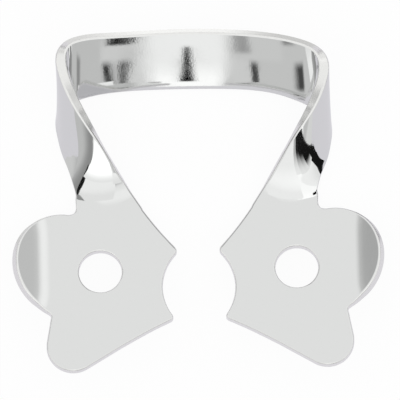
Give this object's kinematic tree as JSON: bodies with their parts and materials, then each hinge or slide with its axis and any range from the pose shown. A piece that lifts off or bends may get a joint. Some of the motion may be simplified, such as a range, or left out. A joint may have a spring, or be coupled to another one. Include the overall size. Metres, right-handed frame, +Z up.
{
  "type": "rubber dam clamp",
  "caption": "Spring clamp cut and bent from one steel sheet: two flat jaws with notched inner edges and forceps holes, joined by a twisted bow.",
  "frame": {"origin": "on the table that the clamp rests on, under the middle of its overall width and length", "axes": "+X across the clamp from the left jaw to the right jaw, +Y from the jaws back to the bow, +Z up from the table"},
  "size_m": [0.026, 0.0238, 0.0044],
  "materials": {
    "polished_steel": "polished stainless spring steel"
  },
  "bodies": {
    "root": {"clamp": "polished_steel"}
  },
  "joints": []
}
